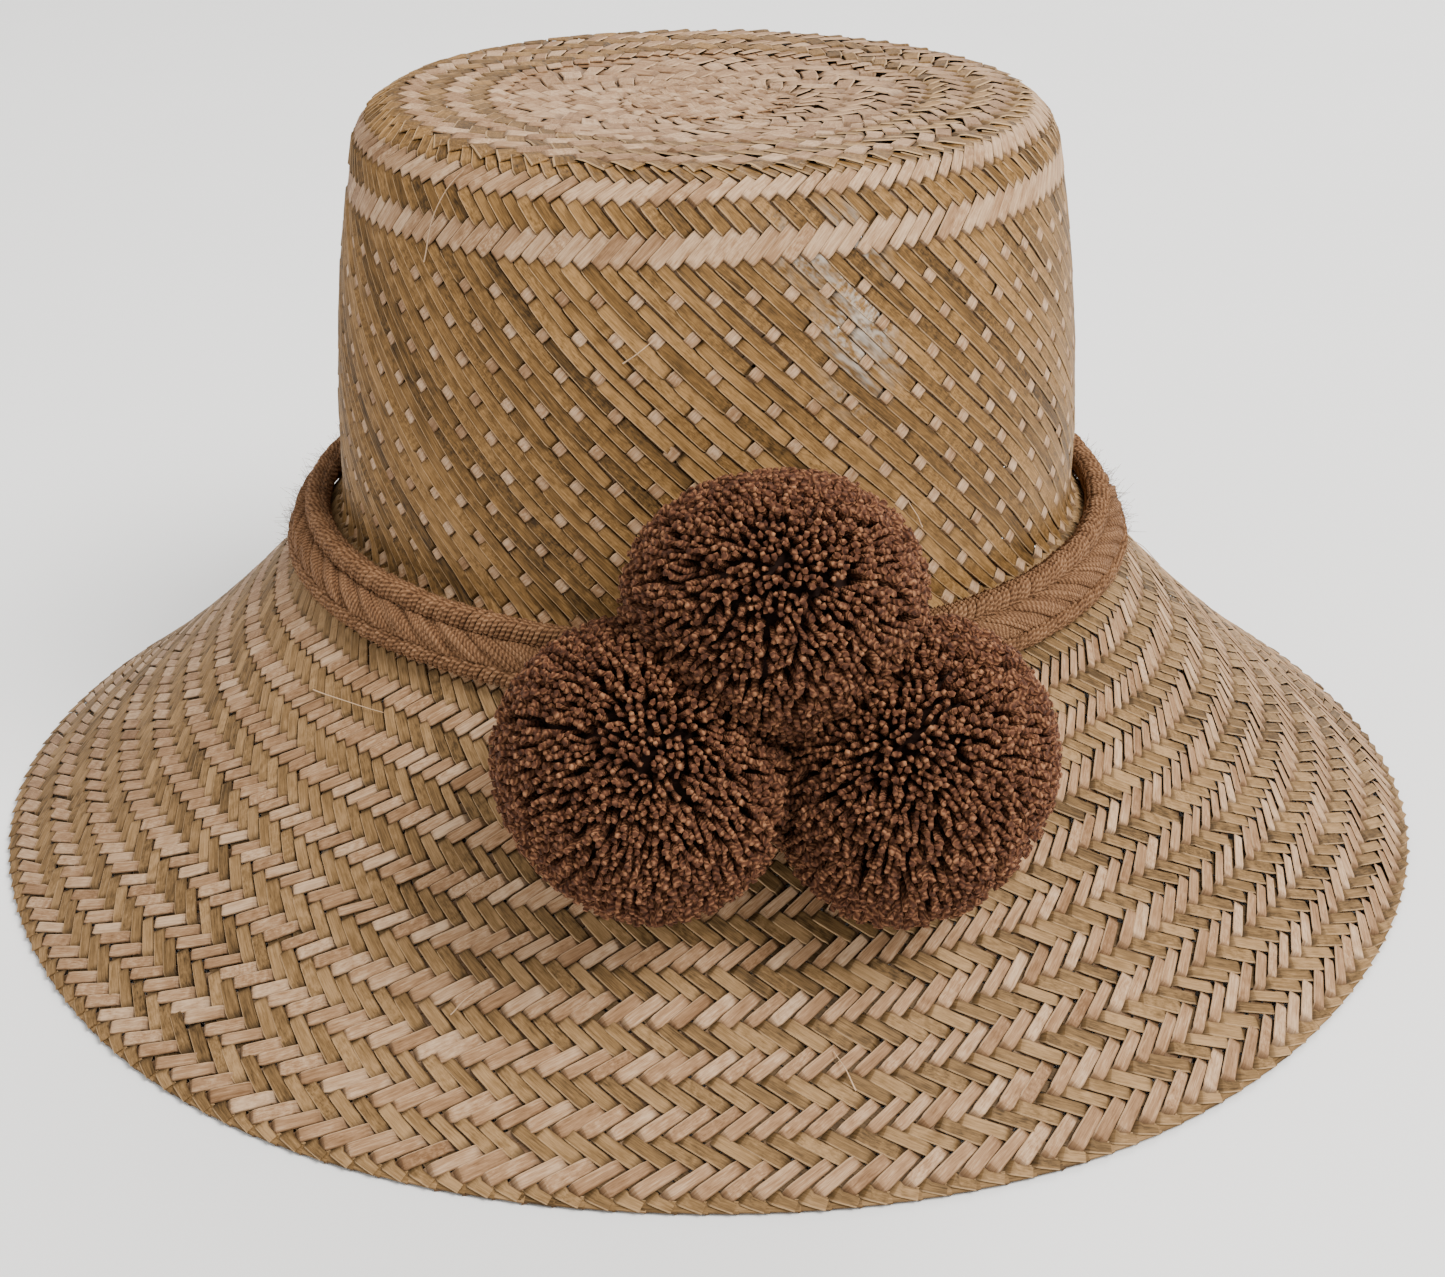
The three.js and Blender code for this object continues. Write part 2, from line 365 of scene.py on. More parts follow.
def crown_profile():
    """The same for the crown: arc length 0 at the neck, up the side, over the shoulder, in to the centre.

    A short tuck below the neck runs in under the brim's strips.
    """
    tuck = np.linspace(CROWN_TUCK, 0, 4)[:-1]
    fillet = np.linspace(NECK_SLOPE, math.pi / 2, 30)
    lean = np.linspace(0, SIDE_TAPER, 120)[1:]
    bend = np.linspace(SIDE_TAPER, math.pi / 2, 40)[1:]
    flat = np.linspace(TOP_RADIUS, 0.0, 120)[1:]
    side_arc = SIDE_HEIGHT / math.sin(SIDE_TAPER)
    r = np.concatenate([
        NECK_RADIUS + tuck * math.cos(NECK_SLOPE),
        SIDE_RADIUS + NECK_FILLET * (1 - np.sin(fillet)),
        SIDE_RADIUS - side_arc * (1 - np.cos(lean)),
        TOP_RADIUS + SHOULDER_RADIUS * np.cos(bend),
        flat,
    ])
    z = np.concatenate([
        NECK_HEIGHT - tuck * math.sin(NECK_SLOPE),
        SIDE_FOOT - NECK_FILLET * np.cos(fillet),
        SIDE_FOOT + side_arc * np.sin(lean),
        TOP_HEIGHT - SHOULDER_RADIUS + SHOULDER_RADIUS * np.sin(bend),
        TOP_HEIGHT - TOP_SAG * np.sin(math.pi / 2 * (1 - flat / TOP_RADIUS)) ** 2,
    ])
    dr, dz = np.gradient(r), np.gradient(z)
    size = np.hypot(dr, dz)
    arc = np.concatenate([[0], np.cumsum(np.hypot(np.diff(r), np.diff(z)))]) - CROWN_TUCK
    return arc, r, z, dz / size, -dr / size


class Shell:
    """A surface of revolution that strips are laid on, with the rim's slight waves.

    Azimuth is 0 at the front and grows towards +x; s is the arc length along the profile, in mm.
    """

    def __init__(self, profile):
        self.arc, self.r, self.z, self.nr, self.nz = profile
        self.length = self.arc[-1]

    def radius(self, s):
        return np.interp(s, self.arc, self.r)

    def place(self, azimuth, s, height):
        r = np.interp(s, self.arc, self.r)
        z = np.interp(s, self.arc, self.z)
        nr = np.interp(s, self.arc, self.nr)
        nz = np.interp(s, self.arc, self.nz)
        outward = np.clip((r - NECK_RADIUS) / (RIM_RADIUS - NECK_RADIUS), 0, 1)
        r = r + RIM_WAVE * np.cos(RIM_WAVES * (azimuth + WAVE_TURN)) * outward ** 2
        r = r + nr * height
        z = z + nz * height
        return np.stack([r * np.sin(azimuth), -r * np.cos(azimuth), z], -1)

    def normal(self, azimuth, s):
        nr = np.interp(s, self.arc, self.nr)
        nz = np.interp(s, self.arc, self.nz)
        return np.stack([nr * np.sin(azimuth), -nr * np.cos(azimuth), nz], -1)

    def upward(self, azimuth, s):
        nr = np.interp(s, self.arc, self.nr)
        nz = np.interp(s, self.arc, self.nz)
        return np.stack([-nz * np.sin(azimuth), nz * np.cos(azimuth), nr], -1)


# ---------------------------------------------------------------- woven strips


class Ribbons:
    """Collects closed flat strips, four faces round, then makes one piece of them."""

    SECTION = ((-1.0, -1.0), (-0.90, 0.0), (0.90, 0.0), (1.0, -1.0))
    LANES = np.array([0.02, 0.09, 0.60, 0.67, 0.94])
    CAP_LANE = (0.96, 0.99)

    def __init__(self, thickness):
        self.thickness = thickness
        self.points, self.faces, self.caps = [], [], []
        self.values = {"along": [], "across": [], "tone": [], "painted_sheen": [], "under_shade": []}
        self.rows = []
        self.count = 0

    def add(self, centre, normal, sideways, half_width, roll, tone, painted_sheen, under_shade, start):
        """Adds one strip of n samples.

        centre, normal and sideways are (n, 3). half_width and roll are (n,), in mm. tone, painted_sheen
        and under_shade (painted sheen and painted shade) are (n,), from 0 to 1. start is the place in mm
        where the grain begins.
        """
        samples = len(centre)
        ring = []
        for across, drop in self.SECTION:
            lift = self.thickness * (1 + drop) - across * roll
            ring.append(centre + sideways * (across * half_width)[:, None] + normal * lift[:, None])
        step = np.linalg.norm(np.diff(centre, axis=0), axis=1)
        along = start + np.concatenate([[0], np.cumsum(step)])
        self.points.append(np.stack(ring, 1).reshape(-1, 3))
        self.values["along"].append(np.repeat(along, 4))
        self.values["across"].append(np.tile([a for a, _ in self.SECTION], samples))
        self.values["tone"].append(np.repeat(tone, 4))
        self.values["painted_sheen"].append(np.repeat(painted_sheen, 4))
        self.values["under_shade"].append(np.repeat(under_shade, 4))
        base = self.count + 4 * np.arange(samples - 1)[:, None]
        lane = np.arange(4)[None, :]
        after = (lane + 1) % 4
        quads = np.stack([base + lane, base + after, base + 4 + after, base + 4 + lane], -1)
        self.faces.append(quads.reshape(-1, 4))
        self.caps.append(self.count + np.array([[3, 2, 1, 0]]))
        self.caps.append(self.count + 4 * (samples - 1) + np.array([[0, 1, 2, 3]]))
        reach = (along - along[0]) / (along[-1] - along[0])
        self.rows.append(reach)
        self.count += 4 * samples

    def make(self, name, material, node, slot):
        total = len(self.rows)
        corners, ends = [], []
        for row, reach in enumerate(self.rows):
            for left in (0.0, 0.02):
                low, high = (row + self.CAP_LANE[0]) / total, (row + self.CAP_LANE[1]) / total
                ends.append([(left, low), (left, high), (left + 0.01, high), (left + 0.01, low)])
            low = (row + self.LANES[:-1]) / total
            high = (row + self.LANES[1:]) / total
            u0 = np.repeat(reach[:-1, None], 4, 1)
            u1 = np.repeat(reach[1:, None], 4, 1)
            v0 = np.broadcast_to(low, u0.shape)
            v1 = np.broadcast_to(high, u0.shape)
            quad = np.stack([np.stack([u0, v0], -1), np.stack([u0, v1], -1),
                             np.stack([u1, v1], -1), np.stack([u1, v0], -1)], 2)
            corners.append(quad.reshape(-1, 4, 2))
        values = {key: np.concatenate(lists) for key, lists in self.values.items()}
        points = np.concatenate(self.points) * MM
        faces = [np.concatenate(self.faces + self.caps)]
        corners = [np.concatenate(corners + [np.array(ends)])]
        add_piece(name, points, faces, material, values, corners, node, False)


STRAW_THICKNESS = 0.24
# Height of the middle of the weave over the CAD's outer surface.
STRAW_DEPTH = -0.62
# Painted shade on a strip where it turns from over to under, as a share of what it gets where it is under.
TURN_SHADE = 0.45
WANDER_WAVES = 7
WIDTH_WAVES = 3
HEIGHT_WAVES = 5
TONE_WAVES = 4
TONE_RUN = 0.10
# Strips' tones follow a beta distribution with both its parameters at this.
TONE_SHAPE = 2.6
# Share of the falling strips that may get painted sheen.
SHEEN_SHARE = 0.7
ROLL_PLAY = 0.25
GRAIN_STEP = 37.0


def weave(shell, count, rows, over, style, rng):
    """Lays count rising and count falling strips over the rows of crossings of a shell.

    rows holds the arc length of each row of crossings. over(row, j) is 1 where rising strip j
    lies over the falling one. The strips go into the two Ribbons of style["into"]. Where style
    holds a pair, it is for the rising and the falling strips. Its sizes are in mm, but width is a
    share of the pitch, width_play of the width, wander of the step from strip to strip and turn of
    a row. bright shifts the material's tone, painted_light_east adds painted light to it towards +x,
    where the key lamp falls, and painted_sheen sets the painted sheen; these run from 0 to 1.
    """
    last = len(rows) - 1
    step = TAU / count
    for side, sign in enumerate((1, -1)):
        ribbons = style["into"][side]
        wander = smooth_noise(rng, count, 2 * last + 1, WANDER_WAVES, style["wander"])
        width_run = smooth_noise(rng, count, 2 * last + 1, WIDTH_WAVES, style["width_play"])
        widths = style["width"][side] * (1 + width_run)
        widths = widths * (1 + rng.normal(0, style["width_play"], (count, 1)))
        float_play = smooth_noise(rng, count, 2 * last + 1, HEIGHT_WAVES, style["height_play"])
        tones = rng.beta(TONE_SHAPE, TONE_SHAPE, count)
        tone_run = smooth_noise(rng, count, 2 * last + 1, TONE_WAVES, TONE_RUN)
        sheened = rng.random(count) < SHEEN_SHARE
        rolls = style["roll"][side] * (1 + rng.normal(0, ROLL_PLAY, count))
        for j in range(count):
            whole = np.arange(last + 1)
            partner = j if sign > 0 else (j - whole) % count
            up = over(whole, partner)
            up = (2.0 * up - 1.0) * sign
            # under_shade_steps holds each sample's painted shade: 1 where the strip lies under, TURN_SHADE on
            # the upper side of a turn.
            place, height, index, under_shade_steps = [], [], [], []
            kept = -1
            for n in range(last + 1):
                straight = 0 < n < last and up[n - 1] == up[n] == up[n + 1]
                if straight and kept == n - 1:
                    continue
                kept = n
                place.append(n)
                height.append(up[n])
                index.append(2 * n)
                under_shade_steps.append(up[n] < 0)
                if n < last and up[n] != up[n + 1]:
                    place += [n + 0.5 - style["turn"], n + 0.5 + style["turn"]]
                    height += [up[n], up[n + 1]]
                    index += [2 * n + 1, 2 * n + 1]
                    under_shade_steps += [1.0 if level < 0 else TURN_SHADE for level in (up[n], up[n + 1])]
            place, height, index = np.array(place), np.array(height), np.array(index)
            under_shade = np.array(under_shade_steps, float)
            s = np.interp(place, whole, rows)
            azimuth = step * (j + sign * place / 2.0)
            azimuth = azimuth + step * wander[j][index] * style["loose"](s)
            s = s + style["tilt"](azimuth, s)
            lift = style["depth"](s) + style["lift"] * height + float_play[j][index]
            centre = shell.place(azimuth, s, lift)
            normal = shell.normal(azimuth, s)
            run = unit(np.gradient(centre, axis=0))
            sideways = unit(np.cross(run, normal))
            sideways = sideways * np.sign((sideways * east(azimuth)).sum(-1, keepdims=True))
            rise = np.abs((run * shell.upward(azimuth, s)).sum(-1))
            pitch = TAU * shell.radius(s) / count
            half = 0.5 * pitch * rise * widths[j][index]
            half = np.minimum(half, style["widest"] / 2)
            # Painted light: the tone rises towards +x, on the key lamp's side, by painted_light_east.
            bright = style["bright"][side] + style["painted_light_east"][side] * np.sin(azimuth)
            tone = np.clip(bright + (1 - abs(bright)) * (tones[j] + tone_run[j][index]), 0, 1)
            # Painted sheen, on falling strips only.
            painted_sheen = style["painted_sheen"](azimuth, s) * (side == 1) * sheened[j]
            roll = rolls[j] * style["roll_at"](azimuth)
            ribbons.add(centre, normal, sideways, half, roll, tone, painted_sheen, under_shade, GRAIN_STEP * j)


def east(azimuth):
    return np.stack([np.cos(azimuth), np.sin(azimuth), 0 * azimuth], -1)


def near(value, middle, reach):
    """A bump of 1 at middle that fades to 0 at reach on either side."""
    return np.clip(1 - np.abs(value - middle) / reach, 0, 1)


def steady(value):
    """A style entry that has one value everywhere."""
    return lambda *where: value + 0 * where[-1]


def waves(azimuth, *parts):
    """A sum of sines round the hat, each given by its size, its number of waves and its phase."""
    return sum(size * np.sin(turns * azimuth + phase) for size, turns, phase in parts)


BRIM_STRIPS = 186
RING_ROWS = 3
# From this ring to the neck, every ring is olive.
FIRST_OLIVE_RING = 19
RIM_ROWS = (0.6, 1.8)
# Arc length from the rim to each boundary between rings, in mm.
BRIM_RINGS = [3.0, 8.9, 14.1, 19.9, 25.7, 31.3, 37.0, 43.0, 48.7, 54.0, 59.6, 65.2, 70.9, 76.6,
              82.3, 88.0, 93.7, 99.4, 105.1, 110.8, 116.5, 123.0]


def rows_of_rings(bounds, per_ring):
    """The arc length of each row of crossings, with per_ring rows in each ring, and its ring's number."""
    rows, ring = [], []
    for number, (low, high) in enumerate(zip(bounds[:-1], bounds[1:])):
        for k in range(per_ring):
            rows.append(low + (high - low) * (k + 0.5) / per_ring)
            ring.append(number)
    return np.array(rows), np.array(ring)


def build_brim(pale, olive):
    rng = np.random.default_rng(11)
    shell = Shell(brim_profile())
    rows, ring = rows_of_rings(BRIM_RINGS, RING_ROWS)
    rows = np.concatenate([RIM_ROWS, rows])
    ring = np.concatenate([[-1] * len(RIM_ROWS), ring])
    keep = rows <= shell.length
    rows, ring = rows[keep], ring[keep]
    rising, falling = Ribbons(STRAW_THICKNESS), Ribbons(STRAW_THICKNESS)

    def over(row, j):
        return (ring[row] % 2 == 0) * (ring[row] < FIRST_OLIVE_RING) * 1.0 + 0 * np.asarray(j)

    def tilt(azimuth, s):
        wave = waves(azimuth, (0.55, 3, 0.6), (0.35, 8, 2.1), (0.2, 17, 0))
        return wave * np.clip(s / 20, 0, 1) * np.clip((118 - s) / 15, 0, 1)

    # Where the brim's falling strips get painted sheen.
    def painted_sheen(azimuth, s):
        a = azimuth % TAU
        return near(a, 0.72, 0.05) * near(s, 92, 6) + near(a, 5.6, 0.03) * near(s, 60, 4)

    def depth(s):
        # The strips dive under the crown's at the neck.
        return STRAW_DEPTH - 1.6 * np.clip((s - 119.6) / 3, 0, 1)

    style = {
        "into": (rising, falling),
        "width": (0.92, 0.97),
        "width_play": 0.05,
        "widest": 3.9,
        "wander": 0.085,
        "loose": lambda s: np.clip(s / 6, 0.2, 1),
        "height_play": 0.09,
        "lift": 0.44,
        "depth": depth,
        "turn": 0.18,
        "roll": (0.14, 0.12),
        "roll_at": steady(1.0),
        "tilt": tilt,
        "bright": (0.05, 0.0),
        "painted_light_east": (0.0, 0.0),
        "painted_sheen": painted_sheen,
    }
    weave(shell, BRIM_STRIPS, rows, over, style, rng)
    turned_edge(shell, falling, rng)
    rising.make("brim_strips_rising", pale, "brim", "straw_brim")
    falling.make("brim_strips_falling", olive, "brim", "straw_brim")


# Arc length of the samples of a lap at the rim, then its height and half its width, in mm.
LAP_ARCS = (1.25, 1.05, 0.95, 0.85)
LAP_HEIGHT = -0.75
LAP_HALF_WIDTH = 1.15


def turned_edge(shell, ribbons, rng):
    """Short laps just inside the strips' ends, where they fold back along the rim."""
    step = TAU / BRIM_STRIPS
    samples = len(LAP_ARCS)
    for number in range(BRIM_STRIPS):
        azimuth = step * (number + np.linspace(-0.15, 1.15, samples))
        s = np.array(LAP_ARCS)
        centre = shell.place(azimuth, s, np.full(samples, LAP_HEIGHT))
        normal = shell.normal(azimuth, s)
        sideways = unit(np.cross(unit(np.gradient(centre, axis=0)), normal))
        half = np.full(samples, LAP_HALF_WIDTH)
        tone = np.full(samples, rng.beta(TONE_SHAPE, TONE_SHAPE))
        ribbons.add(centre, normal, sideways, half, 0 * tone, tone, 0 * tone, 0 * tone, 11.0 * number)


CROWN_STRIPS = 134
SATIN = 8
CROWN_FIRST_RING = 80.3
CROWN_RINGS = [80.3, 86.8, 93.3, 98.3, 104.3]
SATIN_STEP = 1.985
PATTERN_TILT = 2.3


def build_crown(pale, olive):
    rng = np.random.default_rng(23)
    shell = Shell(crown_profile())
    ring_rows, ring = rows_of_rings(CROWN_RINGS, RING_ROWS)
    below = np.arange(CROWN_FIRST_RING - SATIN_STEP / 2, 0.5 - CROWN_TUCK, -SATIN_STEP)[::-1]
    rows = np.concatenate([below, ring_rows])
    ring = np.concatenate([np.full(len(below), -1), ring])
    numbers = np.arange(len(rows)) - len(below)
    rising, falling = Ribbons(STRAW_THICKNESS), Ribbons(STRAW_THICKNESS)

    def over(row, j):
        # Rising strip j meets falling strip j + n on row n; 3n + 4j is a multiple of 8 at a square.
        n = numbers[row]
        square = (4 * j + 3 * n) % SATIN == 0
        return np.where(ring[row] < 0, square, ring[row] % 2 == 0) * 1.0

    def tilt(azimuth, s):
        window = np.clip((s - 8) / 20, 0, 1) * np.clip((110 - s) / 12, 0, 1)
        return window * waves(azimuth, (PATTERN_TILT, 1, 0), (0.3, 3, 1), (0.2, 7, 0))

    # Where the crown's falling strips get painted sheen.
    def painted_sheen(azimuth, s):
        a = azimuth % TAU
        high = near(a, 0.30, 0.17) * near(s, 84, 9)
        low = near(a, 0.38, 0.12) * near(s, 66, 20)
        return np.clip(1.6 * (high + low), 0, 1)

    def depth(s):
        # The ends run in under the brim's strips at the neck.
        return STRAW_DEPTH - 1.4 * np.clip((0.8 - s) / 2, 0, 1)

    style = {
        "into": (rising, falling),
        "width": (0.99, 0.95),
        "width_play": 0.045,
        "widest": 3.9,
        "wander": 0.07,
        "loose": steady(1.0),
        "height_play": 0.09,
        "lift": 0.36,
        "depth": depth,
        "turn": 0.12,
        "roll": (0.03, 0.26),
        "roll_at": lambda azimuth: 0.75 - 0.65 * np.sin(azimuth),
        "tilt": tilt,
        "bright": (0.30, 0.0),
        # Painted light: the crown's pale squares lighter towards +x, where the key lamp falls.
        "painted_light_east": (0.25, 0.0),
        "painted_sheen": painted_sheen,
    }
    weave(shell, CROWN_STRIPS, rows, over, style, rng)
    rising.make("crown_strips_rising", pale, "crown", "straw_crown")
    falling.make("crown_strips_falling", olive, "crown", "straw_crown")


# Strips each way, start of the first ring in from the edge of the flat top, reach and depth, in mm.
TOP_ZONES = ((67, -4.5, 30.0, -0.40), (34, 21.0, 36.0, -0.95))
TOP_RINGS = 6
TOP_RING_ROWS = 2


def build_crown_top(pale, olive):
    """Fewer and wider strips on the flat top, in rings that close on a small plain-woven patch."""
    rng = np.random.default_rng(31)
    shell = Shell(crown_profile())
    light, dark = Ribbons(STRAW_THICKNESS), Ribbons(STRAW_THICKNESS)
    top_start = float(np.interp(-TOP_RADIUS, -shell.r, shell.arc))
    for zone, (count, first, reach, depth) in enumerate(TOP_ZONES):
        bounds = list(top_start + first + reach * np.linspace(0, 1, TOP_RINGS + 1))
        rows, ring = rows_of_rings(bounds, TOP_RING_ROWS)
        ends = (rows[0], rows[-1])

        def over(row, j, ring=ring):
            return (ring[row] % 2 == 1) * 1.0 + 0 * np.asarray(j)

        def depth_of(s, ends=ends, depth=depth):
            sunk = 0.25 * near(s, ends[0], 1.6) + 0.25 * near(s, ends[1], 1.6)
            return depth - sunk

        def tilt(azimuth, s):
            return waves(azimuth, (0.9, 2, 0.5), (0.5, 5, 2))

        style = {
            "into": (light, dark if zone == 0 else light),
            "width": (1.02, 1.02),
            "width_play": 0.07,
            "widest": 5.2,
            "wander": 0.10,
            "loose": steady(1.0),
            "height_play": 0.10,
            "lift": 0.45,
            "depth": depth_of,
            "turn": 0.2,
            "roll": (0.16, 0.16),
            "roll_at": steady(1.0),
            "tilt": tilt,
            "bright": (0.06, 0.12),
            "painted_light_east": (0.0, 0.0),
            "painted_sheen": steady(0.0),
        }
        weave(shell, count, rows, over, style, rng)
    centre_patch(shell, light, rng)
    light.make("crown_top_pale", pale, "crown", "straw_crown")
    dark.make("crown_top_olive", olive, "crown", "straw_crown")


PATCH_RADIUS = 17.5
PATCH_LINES = 4
PATCH_TURN = 0.5


def centre_patch(shell, ribbons, rng):
    """A disc of plain weave at the middle of the top, its strips running two ways."""
    pitch = 3.4
    for way in (0, 1):
        for number in range(-PATCH_LINES, PATCH_LINES + 1):
            offset = number * pitch + rng.normal(0, 0.25)
            half_chord = math.sqrt(max(PATCH_RADIUS ** 2 - offset ** 2, 1.0))
            reach = np.arange(-half_chord, half_chord, pitch / 2)
            bend = 0.9 * np.sin(reach / 14 + rng.uniform(0, TAU))
            turn = PATCH_TURN + way * math.pi / 2
            x = reach * math.cos(turn) - (offset + bend) * math.sin(turn)
            y = reach * math.sin(turn) + (offset + bend) * math.cos(turn)
            r = np.hypot(x, y)
            azimuth = np.arctan2(x, -y)
            s = np.interp(-r, -shell.r, shell.arc)
            wave = np.cos(math.pi * reach / pitch + math.pi * (number + way))
            centre = shell.place(azimuth, s, -0.35 + 0.4 * wave + rng.normal(0, 0.06))
            normal = np.broadcast_to((0.0, 0.0, 1.0), centre.shape)
            run = unit(np.gradient(centre, axis=0))
            sideways = unit(np.cross(run, normal))
            count = len(reach)
            tone = np.full(count, rng.beta(TONE_SHAPE, TONE_SHAPE))
            half = np.full(count, 0.5 * pitch * rng.uniform(1.0, 1.12))
            # Painted shade where a strip dips under the crossing one.
            under_shade = 0.9 * np.clip(-wave, 0, 1)
            ribbons.add(centre, normal, sideways, half, 0 * tone, tone, 0 * tone, under_shade, rng.uniform(0, 400))


# Loose fibres: shell, azimuth, arc length, heading (radians from east towards up) and length in mm.
STRAYS = (
    ("crown", -0.78, 73.0, 1.35, 22.0), ("crown", -0.20, 60.0, 0.6, 9.0), ("crown", 0.55, 20.0, 2.2, 8.0),
    ("crown", 2.6, 50.0, 1.0, 15.0), ("crown", -2.3, 66.0, 2.0, 12.0),
    ("brim", -0.93, 88.0, 0.15, 24.0), ("brim", 0.72, 104.0, 2.6, 14.0), ("brim", 0.19, 22.0, 1.9, 9.0),
    ("brim", -0.35, 34.0, 0.9, 8.0), ("brim", 1.9, 60.0, 0.4, 16.0), ("brim", -2.1, 40.0, 2.4, 13.0),
    ("brim", 3.0, 80.0, 1.2, 10.0),
)
STRAY_THICKNESS = 0.16
STRAY_SAMPLES = 14
STRAY_TONE = 1.2


def build_strays(pale):
    """A few thin loose fibres that curl a little off the straw."""
    rng = np.random.default_rng(83)
    for part, profile in (("crown", crown_profile()), ("brim", brim_profile())):
        shell = Shell(profile)
        fibres = Ribbons(STRAY_THICKNESS)
        for home, azimuth, arc, heading, length in STRAYS:
            if home != part:
                continue
            t = np.linspace(0, 1, STRAY_SAMPLES)
            swing = heading + rng.uniform(-0.7, 0.7) * t
            step = length / (STRAY_SAMPLES - 1)
            across = np.cumsum(np.cos(swing)) * step
            up = np.cumsum(np.sin(swing)) * step
            s = arc + up
            place = azimuth + across / shell.radius(s)
            centre = shell.place(place, s, 0.45 + 1.1 * np.sin(math.pi * t) ** 2)
            normal = shell.normal(place, s)
            run = unit(np.gradient(centre, axis=0))
            sideways = unit(np.cross(run, normal))
            half = STRAY_THICKNESS * (1 - 0.6 * t)
            tone = STRAY_TONE + 0 * t
            fibres.add(centre, normal, sideways, half, 0 * t, tone, 0 * t, 0 * t, rng.uniform(0, 99))
        fibres.make(part + "_stray_fibres", pale, part, "straw_" + part)


# ---------------------------------------------------------------- yarn


def circles(first, second, angle):
    """Points at the angles round unit circles, each in the plane of its first and second axis."""
    return np.cos(angle)[..., None] * first + np.sin(angle)[..., None] * second


class Tubes:
    """Collects tubes of a few sides, then makes one piece of them."""

    # Shares of a bake cell: its margin, the length of a capped tube's or a loop's part, and the
    # place and radius of the root's and the tip's cap.
    MARGIN = 0.03
    CAPPED_LENGTH = 0.70
    LOOP_LENGTH = 0.94
    CAP_DISCS = ((0.755, 0.012), (0.87, 0.09))

    def __init__(self, grid):
        self.grid = grid
        self.points, self.quads, self.caps, self.quad_uv, self.cap_uv = [], [], [], [], []
        self.values = {"along": [], "around": [], "tone": [], "depth": []}
        self.count = 0
        self.cells = 0

    def cell(self):
        column, row = self.cells % self.grid[0], self.cells // self.grid[0]
        self.cells += 1
        return column / self.grid[0], row / self.grid[1], 1 / self.grid[0], 1 / self.grid[1]

    def add(self, rings, along, tone, depth, loop_cells=0):
        """rings is (n, sides, 3) in mm; along and depth are (n,), and tone is one number.

        Both ends are capped, or joined up where loop_cells gives the bake cells that a loop takes.
        The caps' discs lie in the cell to the right of the tube's side.
        """
        samples, sides = rings.shape[:2]
        self.points.append(rings.reshape(-1, 3))
        self.values["along"].append(np.repeat(along, sides))
        around = np.abs(np.linspace(-1, 1, sides, endpoint=False))
        self.values["around"].append(np.tile(around, samples))
        self.values["tone"].append(np.full(samples * sides, tone))
        self.values["depth"].append(np.repeat(depth, sides))
        first = np.arange(samples if loop_cells else samples - 1)
        here = self.count + sides * first[:, None]
        there = self.count + sides * ((first + 1) % samples)[:, None]
        side = np.arange(sides)[None, :]
        after = (side + 1) % sides
        quads = np.stack([here + side, here + after, there + after, there + side], -1)
        self.quads.append(quads.reshape(-1, 4))
        reach = self.LOOP_LENGTH if loop_cells else self.CAPPED_LENGTH
        for part in np.array_split(first, max(1, loop_cells)):
            x, y, w, h = self.cell()
            u = x + w * (self.MARGIN + reach * np.linspace(0, 1, len(part) + 1))
            v = y + h * (self.MARGIN + self.LOOP_LENGTH * np.linspace(0, 1, sides + 1))
            u0, v0 = np.meshgrid(u[:-1], v[:-1], indexing="ij")
            u1, v1 = np.meshgrid(u[1:], v[1:], indexing="ij")
            uv = np.stack([np.stack([u0, v0], -1), np.stack([u0, v1], -1),
                           np.stack([u1, v1], -1), np.stack([u1, v0], -1)], 2)
            self.quad_uv.append(uv.reshape(-1, 4, 2))
        if not loop_cells:
            ring = np.arange(sides)[None, :]
            self.caps += [self.count + ring[:, ::-1], self.count + sides * (samples - 1) + ring]
            angle = TAU * np.arange(sides) / sides
            for place, size in self.CAP_DISCS:
                disc = [x + w * (place + size * np.cos(angle)), y + h * (0.5 + 0.4 * np.sin(angle))]
                self.cap_uv.append(np.stack(disc, -1)[None])
        self.count += samples * sides

    def make(self, name, material, node, slot):
        faces, corners = [np.concatenate(self.quads)], [np.concatenate(self.quad_uv)]
        for size in sorted({cap.shape[1] for cap in self.caps}):
            chosen = [k for k, cap in enumerate(self.caps) if cap.shape[1] == size]
            faces.append(np.concatenate([self.caps[k] for k in chosen]))
            corners.append(np.concatenate([self.cap_uv[k] for k in chosen]))
        values = {key: np.concatenate(lists) for key, lists in self.values.items()}
        add_piece(name, np.concatenate(self.points) * MM, faces, material, values, corners, node, True)


BAND_PERIODS = 17
BAND_STRANDS = 4
BAND_RADIUS = 99.6
BAND_HEIGHT = 78.4
BAND_HALF = 8.2
BAND_DOWN = 8.2
BAND_SLOPE = NECK_SLOPE - BAND_DOWN / BRIM_ARC
STRAND_YARNS = 7
YARN_RADIUS = 0.60
YARN_SIDES = 5
BAND_LOOP_CELLS = 8
BAND_CELL_COLUMNS = 4
# Where along a lap (edge to edge) the samples of a yarn are: close together at the steep turns.
LAP_STEPS = (0.0, 0.02, 0.045, 0.07, 0.11, 0.22, 0.36, 0.5, 0.64, 0.78, 0.89, 0.93, 0.955, 0.98)
